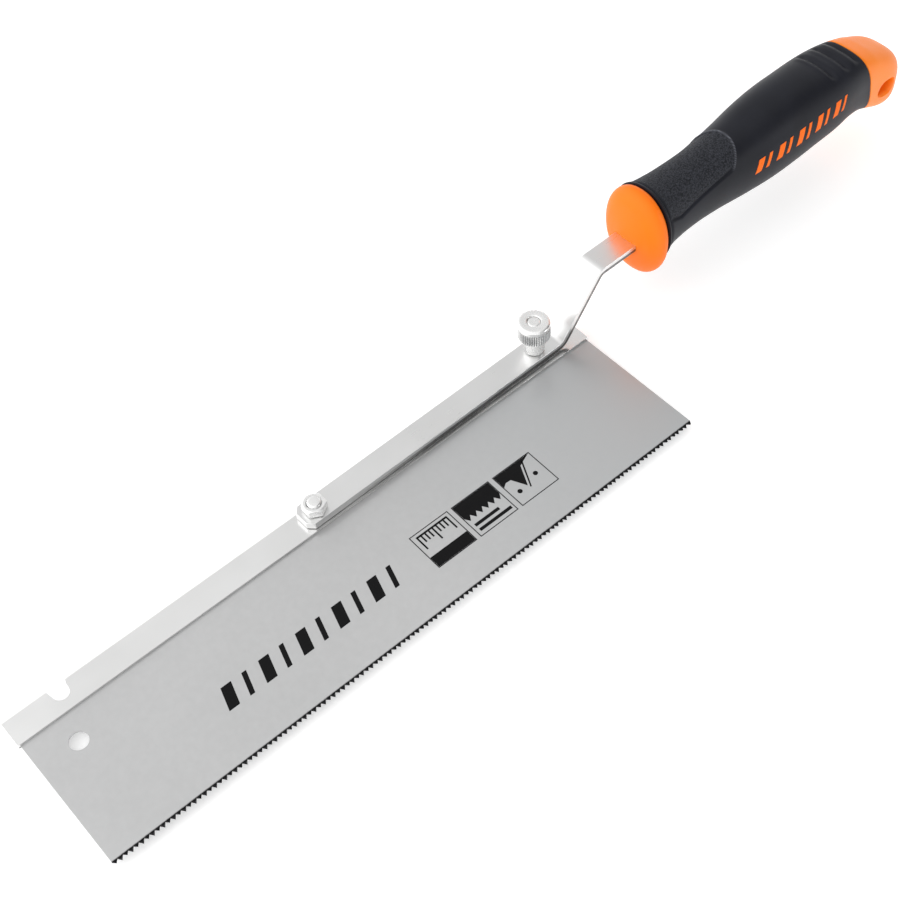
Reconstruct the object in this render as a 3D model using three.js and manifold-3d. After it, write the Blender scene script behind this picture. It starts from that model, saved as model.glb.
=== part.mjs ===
// Reversible offset back saw: a toothed blade under a folded steel back, and a cranked strap with a
// handle that swings on the back from one end to the other and locks in a notch at either end.
//
// Millimetres. X runs along the blade from toe to heel, Y from the teeth to the back, Z from the
// blade's flush underside (Z = 0) up to the handle. X = 0 is the pivot, in the middle of the blade.
// The strap and everything on it is drawn in the strap's own frame: U along it, V across it.

import * as THREE from 'three';
import { mergeVertices } from 'three/addons/utils/BufferGeometryUtils.js';
import Module from 'manifold-3d';

const wasm = await Module();
wasm.setup();

// ---- driving dimensions -------------------------------------------------------------------------

const INCH = 25.4;

const BLADE_LENGTH = 250;
const BLADE_THICKNESS = 0.8;
const BLADE_DEPTH_TOE = 54;
const BLADE_DEPTH_HEEL = 55;
const ROLLED_EDGE_STEP = 0.02;
const ROLLED_EDGE_MARGIN = 0.05;
const TEETH_PER_INCH = 13;
const TOOTH_DEPTH = 1.5;
const HANG_HOLE_DIAMETER = 6.8;
const HANG_HOLE_FROM_TOE = 15;
const HANG_HOLE_FROM_SPINE = 11;

const SPINE_WIDTH = 11.5;
const SPINE_LEAF = 0.95;
const SPINE_OVERHANG = 0.7;
const FOLD_CLEARANCE = 0.05;

const PIVOT_Y = 33;
const PIVOT_FROM_SPINE_FRONT = 6;
const NOTCH_FROM_PIVOT = 105;
const NOTCH_SEAT_ABOVE_PIVOT = 1.3;
const NOTCH_RADIUS = 3;
const NOTCH_MOUTH_WIDTH = 7.8;

const STRAP_WIDTH = 10.4;
const STRAP_THICKNESS = 3;
const STRAP_GAP = 0.3;
const STRAP_LOWER_BEND_U = 115.3;
const STRAP_UPPER_BEND_U = 134.3;
const STRAP_RISE = 24.6;
const STRAP_BEND_RADIUS = 4;
const STRAP_NOSE = 6.2;
const STRAP_NOSE_CHAMFER = 2.3;
const TANG_END_U = 214;
const TANG_CHAMFER = 2;

const THREAD_RADIUS = 2.5;
const BORE_CLEARANCE = 0.15;
const RUNNING_CLEARANCE = 0.3;
const SEAT_GAP = 0.05;

const NUT_ACROSS_FLATS = 8;
const NUT_HEIGHT = 3.3;
const PIVOT_HEAD_RADIUS = 4.7;
const HEAD_HEIGHT = 1.3;
const BOLT_PROUD = 0.8;

const STUD_HEAD_RADIUS = 4.8;
const THUMB_NECK_RADIUS = 4;
const THUMB_NECK_HEIGHT = 7.3;
const THUMB_HEAD_RADIUS = 6.05;
const THUMB_HEAD_HEIGHT = 8;
const KNURL_HEIGHT = 0.25;
const KNURL_COUNT = 40;

const COLLAR_FRONT_U = 151.7;
const COLLAR_RIM_U = 158;
const COLLAR_BACK_U = 160.5;
const COLLAR_HALF_WIDTH = 14.6;
const COLLAR_HALF_HEIGHT = 19.2;
const COLLAR_CENTRE = 2.4;
const COLLAR_SQUARENESS = 2.12;
const COLLAR_FACE_SHARE = 0.72;
const COLLAR_FACE_DROP = 1.5;
const COLLAR_BACK_SHARE = 0.93;

const GRIP_FRONT_U = 160.8;
const CAP_SPLIT_U = 277.2;
const CAP_START_U = 281;
const HANDLE_END_U = 302.1;
const SPLIT_SLOPE = -0.2;
const SPLIT_BLEND = 13;
const CORE_SHARE = 0.78;
const SLEEVE_GAP_SHARE = 0.025;
const PART_GAP = 0.3;
const CAP_HOLE_U = 288.6;
const CAP_HOLE_LENGTH = 9.6;
const CAP_HOLE_WIDTH = 6;

// ---- worked-out sizes ---------------------------------------------------------------------------

const PITCH = INCH / TEETH_PER_INCH;
const SPINE_FRONT_Y = PIVOT_Y - PIVOT_FROM_SPINE_FRONT;
const SPINE_BACK_Y = SPINE_FRONT_Y + SPINE_WIDTH;
const SPINE_OUTER = BLADE_THICKNESS / 2 + FOLD_CLEARANCE + SPINE_LEAF;
const SPINE_INNER = SPINE_OUTER - SPINE_LEAF;
const SPINE_MID_Z = BLADE_THICKNESS / 2;
const SPINE_TOP_Z = SPINE_MID_Z + SPINE_OUTER;
const SPINE_BOTTOM_Z = SPINE_MID_Z - SPINE_OUTER;
const NOTCH_SEAT_Y = PIVOT_Y + NOTCH_SEAT_ABOVE_PIVOT;

const STRAP_BOTTOM_Z = SPINE_TOP_Z + STRAP_GAP;
const STRAP_TOP_Z = STRAP_BOTTOM_Z + STRAP_THICKNESS;
const STRAP_MID_Z = STRAP_BOTTOM_Z + STRAP_THICKNESS / 2;
const TANG_Z = STRAP_MID_Z + STRAP_RISE;
const STRAP_ANGLE = Math.asin(NOTCH_SEAT_ABOVE_PIVOT / NOTCH_FROM_PIVOT);
const HOLE_TALL = 20;

// Handle sections: U, half width, crown above the tang and keel below the tang.
const HANDLE_STATIONS = [
  [160, 14.3, 21.1, 12.4],
  [165, 13.2, 20.2, 9.6],
  [171, 12.6, 19.4, 8.5],
  [180, 12.2, 19.0, 8.2],
  [190, 12.3, 18.9, 8.8],
  [208, 13.7, 20.8, 10.8],
  [220, 14.9, 23.0, 11.3],
  [232, 15.5, 24.3, 10.8],
  [244, 15.5, 24.3, 9.8],
  [256, 15.0, 23.3, 8.2],
  [266, 13.8, 22.0, 6.6],
  [274, 12.9, 20.4, 7.8],
  [CAP_START_U, 12.6, 18.2, 10.8],
];

// ---- solids -------------------------------------------------------------------------------------

// A closed three.js geometry as a manifold solid.
function solidOf(geometry) {
  const bare = geometry.clone();
  bare.deleteAttribute('normal');
  bare.deleteAttribute('uv');
  const merged = mergeVertices(bare, 1e-4);
  const mesh = new wasm.Mesh({
    numProp: 3,
    vertProperties: new Float32Array(merged.attributes.position.array),
    triVerts: new Uint32Array(merged.index.array),
  });
  return new wasm.Manifold(mesh);
}

// A manifold solid as a three.js geometry.
function geometryOf(solid) {
  const mesh = solid.getMesh();
  const geometry = new THREE.BufferGeometry();
  geometry.setAttribute('position', new THREE.BufferAttribute(mesh.vertProperties, 3));
  geometry.setIndex(new THREE.BufferAttribute(mesh.triVerts, 1));
  geometry.computeVertexNormals();
  return geometry;
}

function cut(body, ...tools) {
  return tools.reduce((left, tool) => left.subtract(tool), body);
}

// A flat outline in X and Y, extruded up from z0 to z1.
function plate(shape, z0, z1) {
  return new THREE.ExtrudeGeometry(shape, { depth: z1 - z0, bevelEnabled: false }).translate(0, 0, z0);
}

// A profile of [radius, z] points turned about the Z axis.
function turned(profile, segments = 32) {
  const points = profile.map(([radius, z]) => new THREE.Vector2(radius, z));
  return new THREE.LatheGeometry(points, segments).rotateX(Math.PI / 2);
}

function rod(radius, z0, z1, x = 0, y = 0, segments = 32) {
  return turned([[0, z0], [radius, z0], [radius, z1], [0, z1]], segments).translate(x, y, 0);
}

function polygonShape(points) {
  return new THREE.Shape(points.map(([x, y]) => new THREE.Vector2(x, y)));
}

// A regular polygon, given its corner radius and the angle of its first corner.
function regularPolygon(corners, radius, firstAngle) {
  const points = [];
  for (let i = 0; i < corners; i += 1) {
    const angle = firstAngle + (2 * Math.PI * i) / corners;
    points.push([radius * Math.cos(angle), radius * Math.sin(angle)]);
  }
  return polygonShape(points);
}

// A slot with round ends, centred on (x, y) and lying along X.
function slotShape(length, width, x, y) {
  const radius = width / 2;
  const reach = length / 2 - radius;
  const shape = new THREE.Shape();
  shape.absarc(x + reach, y, radius, -Math.PI / 2, Math.PI / 2, false);
  shape.absarc(x - reach, y, radius, Math.PI / 2, (3 * Math.PI) / 2, false);
  return shape;
}

// ---- blade and back -----------------------------------------------------------------------------

// The notch that takes the locking stud: a round seat under a slightly flared mouth.
function notchTool(x) {
  const shape = new THREE.Shape();
  const mouthY = SPINE_BACK_Y + 1;
  const mouth = NOTCH_MOUTH_WIDTH / 2;
  shape.moveTo(x + mouth, mouthY);
  shape.lineTo(x - mouth, mouthY);
  shape.lineTo(x - NOTCH_RADIUS, NOTCH_SEAT_Y);
  shape.absarc(x, NOTCH_SEAT_Y, NOTCH_RADIUS, Math.PI, 2 * Math.PI, false);
  shape.closePath();
  return solidOf(plate(shape, -HOLE_TALL, HOLE_TALL));
}

function backTools() {
  return [
    notchTool(-NOTCH_FROM_PIVOT),
    notchTool(NOTCH_FROM_PIVOT),
    solidOf(rod(THREAD_RADIUS + BORE_CLEARANCE, -HOLE_TALL, HOLE_TALL, 0, PIVOT_Y)),
  ];
}

function toothPoints() {
  const toeY = SPINE_FRONT_Y - BLADE_DEPTH_TOE;
  const heelY = SPINE_FRONT_Y - BLADE_DEPTH_HEEL;
  const count = Math.floor(BLADE_LENGTH / PITCH);
  const step = BLADE_LENGTH / count;
  const points = [];
  for (let i = 0; i <= 2 * count; i += 1) {
    const along = (i * step) / 2;
    const lineY = toeY + ((heelY - toeY) * along) / BLADE_LENGTH;
    const isTip = i % 2 === 0;
    points.push([along - BLADE_LENGTH / 2, isTip ? lineY : lineY + TOOTH_DEPTH]);
  }
  return points;
}

// The edge inside the fold is rolled a hair thinner, so both open faces end at the back's front edge.
function rolledEdgeTools() {
  const startY = SPINE_FRONT_Y - ROLLED_EDGE_MARGIN;
  return [ROLLED_EDGE_STEP - 1, BLADE_THICKNESS - ROLLED_EDGE_STEP].map((z) => {
    const slab = new THREE.BoxGeometry(BLADE_LENGTH + 2, SPINE_WIDTH, 1);
    return solidOf(slab.translate(0, startY + SPINE_WIDTH / 2, z + 0.5));
  });
}

function bladeGeometry() {
  const teeth = toothPoints();
  const half = BLADE_LENGTH / 2;
  const topY = SPINE_BACK_Y - SPINE_OUTER;
  const shape = polygonShape([...teeth, [half, topY], [-half, topY]]);
  const body = plate(shape, 0, BLADE_THICKNESS);
  const holeX = HANG_HOLE_FROM_TOE - half;
  const holeY = SPINE_FRONT_Y - HANG_HOLE_FROM_SPINE;
  const hole = solidOf(rod(HANG_HOLE_DIAMETER / 2, -1, 2, holeX, holeY));
  return geometryOf(cut(solidOf(body), hole, ...rolledEdgeTools(), ...backTools()));
}

// The back: one steel strip folded into a U over the blade's upper edge.
function spineGeometry() {
  const foldY = SPINE_BACK_Y - SPINE_OUTER;
  const shape = new THREE.Shape();
  shape.moveTo(SPINE_FRONT_Y, -SPINE_OUTER);
  shape.absarc(foldY, 0, SPINE_OUTER, -Math.PI / 2, Math.PI / 2, false);
  shape.lineTo(SPINE_FRONT_Y, SPINE_OUTER);
  shape.lineTo(SPINE_FRONT_Y, SPINE_INNER);
  shape.absarc(foldY, 0, SPINE_INNER, Math.PI / 2, -Math.PI / 2, true);
  shape.lineTo(SPINE_FRONT_Y, -SPINE_INNER);
  shape.closePath();
  const length = BLADE_LENGTH + 2 * SPINE_OVERHANG;
  const strip = new THREE.ExtrudeGeometry(shape, { depth: length, bevelEnabled: false, curveSegments: 8 });
  strip.rotateX(Math.PI / 2).rotateZ(Math.PI / 2).translate(-length / 2, 0, SPINE_MID_Z);
  return geometryOf(cut(solidOf(strip), ...backTools()));
}

// ---- pivot --------------------------------------------------------------------------------------

function pivotBoltGeometry() {
  const seat = SPINE_BOTTOM_Z - SEAT_GAP;
  const low = seat - HEAD_HEIGHT;
  const top = STRAP_TOP_Z + RUNNING_CLEARANCE + NUT_HEIGHT + BOLT_PROUD;
  const chamfer = 0.4;
  const body = turned([
    [0, low],
    [PIVOT_HEAD_RADIUS - 1.2, low],
    [PIVOT_HEAD_RADIUS - 0.3, low + 0.45],
    [PIVOT_HEAD_RADIUS, seat],
    [THREAD_RADIUS, seat],
    [THREAD_RADIUS, top - chamfer],
    [THREAD_RADIUS - chamfer, top],
    [0, top],
  ]);
  const socketRadius = 1.7;
  const socketDepth = 0.9;
  const socket = plate(regularPolygon(6, socketRadius, 0), low - 1, low + socketDepth);
  return geometryOf(cut(solidOf(body), solidOf(socket)));
}

function pivotNutGeometry() {
  const cornerRadius = NUT_ACROSS_FLATS / Math.sqrt(3);
  const low = STRAP_TOP_Z + RUNNING_CLEARANCE;
  const top = low + NUT_HEIGHT;
  const flat = NUT_ACROSS_FLATS / 2;
  const prism = plate(regularPolygon(6, cornerRadius, Math.PI / 2), low, top);
  const chamferCone = turned([
    [0, low],
    [cornerRadius, low],
    [cornerRadius, top - 0.5],
    [flat - 0.2, top],
    [0, top],
  ]);
  const bore = rod(THREAD_RADIUS + BORE_CLEARANCE, low - 1, top + 1);
  return geometryOf(cut(solidOf(prism).intersect(solidOf(chamferCone)), solidOf(bore)));
}

// ---- strap and lock -----------------------------------------------------------------------------

// Corner points of a strip's centre line, with each bend rounded to an arc.
function roundedPath(corners, radius, steps) {
  const path = [corners[0]];
  for (let i = 1; i < corners.length - 1; i += 1) {
    const [before, corner, after] = [corners[i - 1], corners[i], corners[i + 1]];
    const arriving = corner.clone().sub(before).normalize();
    const leaving = after.clone().sub(corner).normalize();
    const turn = arriving.angle() - leaving.angle();
    const side = Math.sign(-turn);
    const reach = radius * Math.tan(Math.abs(turn) / 2);
    const start = corner.clone().addScaledVector(arriving, -reach);
    const inward = new THREE.Vector2(-arriving.y, arriving.x).multiplyScalar(side * radius);
    const centre = start.clone().add(inward);
    for (let k = 0; k <= steps; k += 1) {
      path.push(start.clone().rotateAround(centre, (-turn * k) / steps));
    }
  }
  path.push(corners[corners.length - 1]);
  return path;
}

// The side view of a bent strip of even thickness.
function stripShape(path, thickness) {
  const upper = [];
  const lower = [];
  path.forEach((point, i) => {
    const before = path[Math.max(i - 1, 0)];
    const after = path[Math.min(i + 1, path.length - 1)];
    const along = after.clone().sub(before).normalize();
    const normal = new THREE.Vector2(-along.y, along.x).multiplyScalar(thickness / 2);
    upper.push(point.clone().add(normal));
    lower.push(point.clone().sub(normal));
  });
  return new THREE.Shape([...lower, ...upper.reverse()]);
}

function strapGeometry() {
  const corners = [
    new THREE.Vector2(-STRAP_WIDTH, STRAP_MID_Z),
    new THREE.Vector2(STRAP_LOWER_BEND_U, STRAP_MID_Z),
    new THREE.Vector2(STRAP_UPPER_BEND_U, TANG_Z),
    new THREE.Vector2(TANG_END_U, TANG_Z),
  ];
  const side = stripShape(roundedPath(corners, STRAP_BEND_RADIUS, 6), STRAP_THICKNESS);
  const strip = new THREE.ExtrudeGeometry(side, { depth: STRAP_WIDTH, bevelEnabled: false });
  strip.rotateX(Math.PI / 2).translate(0, STRAP_WIDTH / 2, 0);
  const half = STRAP_WIDTH / 2;
  const plan = new THREE.Shape();
  plan.moveTo(STRAP_NOSE_CHAMFER - STRAP_NOSE, -half);
  plan.lineTo(TANG_END_U - TANG_CHAMFER, -half);
  plan.lineTo(TANG_END_U, TANG_CHAMFER - half);
  plan.lineTo(TANG_END_U, half - TANG_CHAMFER);
  plan.lineTo(TANG_END_U - TANG_CHAMFER, half);
  plan.lineTo(STRAP_NOSE_CHAMFER - STRAP_NOSE, half);
  plan.lineTo(-STRAP_NOSE, half - STRAP_NOSE_CHAMFER);
  plan.lineTo(-STRAP_NOSE, STRAP_NOSE_CHAMFER - half);
  const outline = solidOf(plate(plan, -HOLE_TALL, TANG_Z + HOLE_TALL));
  const holeRadius = THREAD_RADIUS + RUNNING_CLEARANCE;
  const pivotHole = solidOf(rod(holeRadius, -HOLE_TALL, HOLE_TALL));
  const studHole = solidOf(rod(holeRadius, -HOLE_TALL, HOLE_TALL, NOTCH_FROM_PIVOT));
  return geometryOf(cut(solidOf(strip).intersect(outline), pivotHole, studHole));
}

const THUMB_LOW = STRAP_TOP_Z + RUNNING_CLEARANCE;
const THUMB_HEAD_LOW = THUMB_LOW + THUMB_NECK_HEIGHT;
const THUMB_TOP = THUMB_HEAD_LOW + THUMB_HEAD_HEIGHT;

function lockStudGeometry() {
  const seat = SPINE_BOTTOM_Z - RUNNING_CLEARANCE;
  const low = seat - HEAD_HEIGHT;
  const top = THUMB_TOP - 0.4;
  return turned([
    [0, low],
    [STUD_HEAD_RADIUS - 0.4, low],
    [STUD_HEAD_RADIUS, low + 0.4],
    [STUD_HEAD_RADIUS, seat],
    [THREAD_RADIUS, seat],
    [THREAD_RADIUS, top - 0.5],
    [THREAD_RADIUS - 0.5, top],
    [0, top],
  ]);
}

function thumbNutGeometry() {
  const bore = THREAD_RADIUS + BORE_CLEARANCE;
  const body = turned([
    [bore, THUMB_LOW],
    [THUMB_NECK_RADIUS, THUMB_LOW],
    [THUMB_NECK_RADIUS, THUMB_HEAD_LOW - 0.3],
    [THUMB_HEAD_RADIUS - 0.4, THUMB_HEAD_LOW],
    [THUMB_HEAD_RADIUS, THUMB_HEAD_LOW + 0.4],
    [THUMB_HEAD_RADIUS, THUMB_TOP - 0.8],
    [THUMB_HEAD_RADIUS - 0.7, THUMB_TOP],
    [bore + 0.5, THUMB_TOP],
    [bore, THUMB_TOP - 0.5],
    [bore, THUMB_LOW],
  ], 48);
  const ridges = [];
  for (let i = 0; i < 2 * KNURL_COUNT; i += 1) {
    const angle = (Math.PI * i) / KNURL_COUNT;
    const radius = THUMB_HEAD_RADIUS + (i % 2 === 0 ? KNURL_HEIGHT : -0.05);
    ridges.push([radius * Math.cos(angle), radius * Math.sin(angle)]);
  }
  const knurl = plate(polygonShape(ridges), THUMB_HEAD_LOW + 0.5, THUMB_TOP - 1.1);
  const core = rod(THUMB_NECK_RADIUS, THUMB_LOW, THUMB_TOP - 0.6, 0, 0, 48);
  return geometryOf(solidOf(body).add(solidOf(knurl).subtract(solidOf(core))));
}

// ---- handle -------------------------------------------------------------------------------------

const stationCurve = new THREE.CubicInterpolant(
  HANDLE_STATIONS.map((station) => station[0]),
  HANDLE_STATIONS.flatMap((station) => station.slice(1)),
  3,
);

// Half width, half height, centre above the tang and squareness of the handle at U.
function handleSection(u) {
  const squareness = 2.1 + 0.9 * THREE.MathUtils.smoothstep(u, 240, CAP_START_U);
  if (u <= CAP_START_U) {
    const [halfWidth, crown, keel] = stationCurve.evaluate(u);
    return { halfWidth, halfHeight: (crown + keel) / 2, centre: (crown - keel) / 2, squareness };
  }
  const [, halfWidth, crown, keel] = HANDLE_STATIONS[HANDLE_STATIONS.length - 1];
  const t = Math.min((u - CAP_START_U) / (HANDLE_END_U - CAP_START_U), 1);
  const droop = 7;
  const taper = Math.sqrt(1 - t ** 3.8);
  return {
    halfWidth: halfWidth * taper,
    halfHeight: ((crown + keel) / 2) * taper,
    centre: (crown - keel) / 2 - droop * (1 - (1 - t) ** 1.5),
    squareness,
  };
}

function collarSection() {
  return {
    halfWidth: COLLAR_HALF_WIDTH,
    halfHeight: COLLAR_HALF_HEIGHT,
    centre: COLLAR_CENTRE,
    squareness: COLLAR_SQUARENESS,
  };
}

// The seam between grip and cap leans forward at the top: every section near it is sheared.
function leaned(u, height) {
  const near = 1 - THREE.MathUtils.smoothstep(Math.abs(u - CAP_SPLIT_U), 0, SPLIT_BLEND);
  return u + SPLIT_SLOPE * near * height;
}

const signedPower = (value, power) => Math.sign(value) * Math.abs(value) ** power;

// A profile of [share of the section's radius, U] points swept round the section at each U.
function swept(profile, section, lean = false, segments = 40) {
  const points = profile.map(([share, u]) => new THREE.Vector2(share, u));
  const geometry = new THREE.LatheGeometry(points, segments);
  const position = geometry.attributes.position;
  for (let i = 0; i < position.count; i += 1) {
    const [x, u, z] = [position.getX(i), position.getY(i), position.getZ(i)];
    const share = Math.hypot(x, z);
    const angle = Math.atan2(x, z);
    const place = (at) => {
      const { halfWidth, halfHeight, centre, squareness } = section(at);
      const v = share * halfWidth * signedPower(Math.cos(angle), 2 / squareness);
      const height = centre + share * halfHeight * signedPower(Math.sin(angle), 2 / squareness);
      return [v, height];
    };
    const at = lean ? leaned(u, place(u)[1]) : u;
    const [v, height] = place(at);
    position.setXYZ(i, at, v, TANG_Z + height);
  }
  return geometry;
}

// Evenly spaced [share, U] points from u0 to u1.
function run(share, u0, u1, steps) {
  return Array.from({ length: steps + 1 }, (unused, i) => [share, u0 + ((u1 - u0) * i) / steps]);
}

function tangSlot(u0, u1) {
  const gap = 2 * PART_GAP;
  const box = new THREE.BoxGeometry(u1 - u0, STRAP_WIDTH + gap, STRAP_THICKNESS + gap);
  return solidOf(box.translate((u0 + u1) / 2, 0, TANG_Z));
}

function collarGeometry() {
  const dome = [];
  const faceSteps = 4;
  for (let i = 0; i < faceSteps; i += 1) {
    const part = i / faceSteps;
    dome.push([COLLAR_FACE_SHARE * part, COLLAR_FRONT_U + COLLAR_FACE_DROP * part ** 2]);
  }
  const bandSteps = 6;
  const band = COLLAR_RIM_U - COLLAR_FRONT_U - COLLAR_FACE_DROP;
  for (let i = 0; i <= bandSteps; i += 1) {
    const angle = (Math.PI / 2) * (i / bandSteps);
    const share = COLLAR_FACE_SHARE + (1 - COLLAR_FACE_SHARE) * Math.sin(angle);
    dome.push([share, COLLAR_RIM_U - band * Math.cos(angle)]);
  }
  const rim = [
    [0.985, COLLAR_RIM_U + 1.4],
    [COLLAR_BACK_SHARE, COLLAR_BACK_U],
    [0, COLLAR_BACK_U],
  ];
  const body = swept([...dome, ...rim], collarSection);
  return geometryOf(cut(solidOf(body), tangSlot(COLLAR_FRONT_U - 5, COLLAR_BACK_U + 5)));
}

function coreGeometry() {
  const end = CAP_SPLIT_U - PART_GAP;
  const profile = [[0, GRIP_FRONT_U], ...run(CORE_SHARE, GRIP_FRONT_U, end, 14), [0, end]];
  const body = swept(profile, handleSection, true, 28);
  return geometryOf(cut(solidOf(body), tangSlot(GRIP_FRONT_U - 5, TANG_END_U + PART_GAP)));
}

function gripGeometry() {
  const end = CAP_SPLIT_U - PART_GAP;
  const inner = CORE_SHARE + SLEEVE_GAP_SHARE;
  const outside = run(1, GRIP_FRONT_U, end, 26);
  const inside = run(inner, end, GRIP_FRONT_U, 14);
  return swept([...outside, ...inside, outside[0]], handleSection, true);
}

function capGeometry() {
  const rows = 12;
  const outside = [];
  for (let i = 0; i < rows; i += 1) {
    const angle = (Math.PI / 2) * (i / rows);
    outside.push([1, CAP_SPLIT_U + (HANDLE_END_U - CAP_SPLIT_U) * Math.sin(angle)]);
  }
  const profile = [[0, CAP_SPLIT_U], ...outside, [0, HANDLE_END_U]];
  const body = swept(profile, handleSection, true);
  const slot = slotShape(CAP_HOLE_LENGTH, CAP_HOLE_WIDTH, CAP_HOLE_U, TANG_Z);
  const tool = plate(slot, -HOLE_TALL, HOLE_TALL).rotateX(Math.PI / 2);
  return geometryOf(cut(solidOf(body), solidOf(tool)));
}

// ---- assembly -----------------------------------------------------------------------------------

function finish(color, roughness, metalness) {
  return new THREE.MeshStandardMaterial({ color, roughness, metalness });
}

function piece(name, geometry, material) {
  const mesh = new THREE.Mesh(geometry, material);
  mesh.name = name;
  return mesh;
}

const bladeGroup = new THREE.Group();
bladeGroup.add(
  piece('saw_blade', bladeGeometry(), finish(0xb9b9b7, 0.38, 0.9)),
  piece('spine_back', spineGeometry(), finish(0xdededc, 0.22, 0.95)),
);

const pivotGroup = new THREE.Group();
pivotGroup.position.set(0, PIVOT_Y, 0);
pivotGroup.add(
  piece('pivot_bolt', pivotBoltGeometry(), finish(0xe6e6e2, 0.25, 0.95)),
  piece('pivot_nut', pivotNutGeometry(), finish(0xe2e2de, 0.28, 0.95)),
);

const lockGroup = new THREE.Group();
lockGroup.position.set(NOTCH_FROM_PIVOT, 0, 0);
lockGroup.add(
  piece('lock_stud', lockStudGeometry(), finish(0xe0e0dc, 0.28, 0.95)),
  piece('thumb_nut', thumbNutGeometry(), finish(0xececea, 0.2, 0.95)),
);

const handleGroup = new THREE.Group();
handleGroup.position.set(0, PIVOT_Y, 0);
handleGroup.rotation.z = STRAP_ANGLE;
handleGroup.add(
  piece('offset_strap', strapGeometry(), finish(0xdcdcda, 0.18, 0.98)),
  lockGroup,
  piece('front_collar', collarGeometry(), finish(0xff7e1a, 0.45, 0)),
  piece('handle_core', coreGeometry(), finish(0xff7e1a, 0.5, 0)),
  piece('grip_sleeve', gripGeometry(), finish(0x2b2c31, 0.6, 0)),
  piece('rear_cap', capGeometry(), finish(0xff7e1a, 0.45, 0)),
);

const saw = new THREE.Group();
saw.add(bladeGroup, pivotGroup, handleGroup);

export default saw;
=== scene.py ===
"""Looks of a reversible offset back saw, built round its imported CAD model.

Row frame: X from the blade's toe to the handle, Y from the teeth to the back, Z up from the blade's
flush underside. Sizes below are in millimetres and become metres where a mesh is made. The strap and
the handle are drawn in the strap's own frame: U along it from the pivot, V across it, Z up.
"""

import math

import bmesh
import bpy
import numpy as np
from mathutils import Matrix, Vector
from mathutils.geometry import tessellate_polygon


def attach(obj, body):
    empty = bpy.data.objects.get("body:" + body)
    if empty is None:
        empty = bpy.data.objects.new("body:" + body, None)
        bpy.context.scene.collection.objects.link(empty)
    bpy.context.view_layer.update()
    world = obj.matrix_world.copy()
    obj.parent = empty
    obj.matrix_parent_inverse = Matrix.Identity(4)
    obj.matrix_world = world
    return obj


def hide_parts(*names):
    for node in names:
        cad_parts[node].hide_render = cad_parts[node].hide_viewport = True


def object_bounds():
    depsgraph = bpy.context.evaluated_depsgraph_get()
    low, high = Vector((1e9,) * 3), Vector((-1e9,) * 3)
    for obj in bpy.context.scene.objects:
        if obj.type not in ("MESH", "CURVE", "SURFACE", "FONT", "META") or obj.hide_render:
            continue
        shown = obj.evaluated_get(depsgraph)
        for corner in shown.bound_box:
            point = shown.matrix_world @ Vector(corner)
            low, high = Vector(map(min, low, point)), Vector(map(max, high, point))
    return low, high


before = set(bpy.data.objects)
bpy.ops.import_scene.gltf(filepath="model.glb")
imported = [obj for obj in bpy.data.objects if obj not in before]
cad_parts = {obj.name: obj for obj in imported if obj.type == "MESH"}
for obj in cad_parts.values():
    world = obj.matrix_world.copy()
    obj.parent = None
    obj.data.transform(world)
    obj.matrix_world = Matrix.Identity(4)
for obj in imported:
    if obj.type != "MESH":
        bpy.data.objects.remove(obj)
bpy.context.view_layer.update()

MM = 0.001

# ---- sizes shared with the CAD model -------------------------------------------------------------

PIVOT_Y = 33.0
NOTCH_FROM_PIVOT = 105.0
STRAP_ANGLE = math.asin(1.3 / NOTCH_FROM_PIVOT)

BLADE_HALF = 125.0
BLADE_THICKNESS = 0.8
TOOTH_COUNT = 127
TOOTH_DEPTH = 1.5
TOOTH_SET, TOOTH_SLANT, LOW_TOOTH_DROP = 0.2, 0.4, 0.12
TOE_LINE_Y = -27.0
HEEL_LINE_Y = -28.0
HANG_HOLE = (-110.0, 16.0, 3.4)
BLADE_TOP_Y = 37.1
NOTCH_SEAT_Y = PIVOT_Y + 1.3
NOTCH_RADIUS = 3.0
NOTCH_FLARE = 0.12

STRAP_WIDTH = 10.4
STRAP_THICKNESS = 3.0
STRAP_MID_Z = 3.6
STRAP_TOP_Z = 5.1
STRAP_RISE = 24.6
STRAP_NOSE = 6.2
STRAP_NOSE_CHAMFER = 2.3
LOWER_BEND_U = 115.3
UPPER_BEND_U = 134.3
BEND_RADIUS = 4.0
TANG_END_U = 214.0
TANG_Z = STRAP_MID_Z + STRAP_RISE

THREAD_RADIUS = 2.5
THREAD_PITCH = 0.8
THREAD_DEPTH = 0.42
NUT_SEAT_Z = STRAP_TOP_Z + 0.3
NUT_TOP_Z = NUT_SEAT_Z + 3.3
THUMB_HEAD_Z = NUT_SEAT_Z + 7.3
THUMB_TOP_Z = 20.7
THUMB_HEAD_RADIUS = 6.05
KNURL_LOW_Z, KNURL_HIGH_Z = THUMB_HEAD_Z + 0.6, THUMB_TOP_Z - 2.3

COLLAR_FRONT_U, COLLAR_RIM_U, COLLAR_BACK_U = 151.7, 158.0, 160.5
COLLAR_FACE_SHARE, COLLAR_FACE_DROP = 0.72, 1.5
COLLAR_HALF_WIDTH, COLLAR_HALF_HEIGHT, COLLAR_CENTRE, COLLAR_SQUARENESS = 14.6, 19.2, 2.4, 2.12
GRIP_FRONT_U, CAP_SPLIT_U, CAP_START_U, HANDLE_END_U = 160.8, 277.2, 281.0, 302.1
SPLIT_SLOPE, SPLIT_BLEND = -0.2, 13.0

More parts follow.
